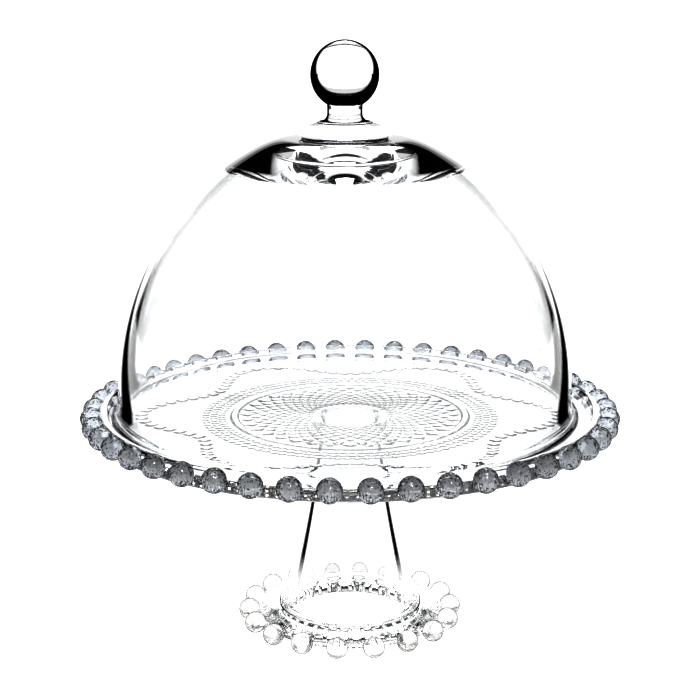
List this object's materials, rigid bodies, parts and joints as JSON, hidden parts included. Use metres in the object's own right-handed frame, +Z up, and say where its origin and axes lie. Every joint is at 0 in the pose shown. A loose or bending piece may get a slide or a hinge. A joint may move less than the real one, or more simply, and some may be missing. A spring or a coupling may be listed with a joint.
{
  "type": "cake stand with dome",
  "caption": "Footed clear glass cake plate with a beaded rim and beaded foot, under a loose glass dome with a thick crown and ball knob.",
  "frame": {"origin": "middle of the foot's resting face, on the table, on the plate's axis", "axes": "+Z up along the stem and the knob, -Y the front, +X to the right seen from the front"},
  "size_m": [0.3, 0.2992, 0.3295],
  "materials": {
    "pressed_glass": "clear pressed glass, fire-polished",
    "bead_glass": "clear pressed glass beads with fine ribs on the underside",
    "blown_glass": "thin clear blown glass",
    "solid_glass": "thick clear solid glass"
  },
  "bodies": {
    "stand": {"plate_disc": "pressed_glass", "plate_rim": "pressed_glass", "rim_beads": "bead_glass", "pearl_garland": "pressed_glass", "stem": "pressed_glass", "stem_step_ring": "pressed_glass", "foot": "pressed_glass", "foot_beads": "bead_glass", "foot_flutes": "pressed_glass"},
    "dome": {"dome_rim": "blown_glass", "dome_skirt": "blown_glass", "dome_bell": "blown_glass", "dome_shoulder": "blown_glass", "dome_crown": "solid_glass", "knob_collar": "solid_glass", "knob_neck": "solid_glass", "knob_ball": "solid_glass"}
  },
  "joints": [
    {"name": "dome_lift", "type": "slide", "parent": "stand", "child": "dome", "axis": [0, 0, 1], "range_m": [0, 0.2]}
  ]
}
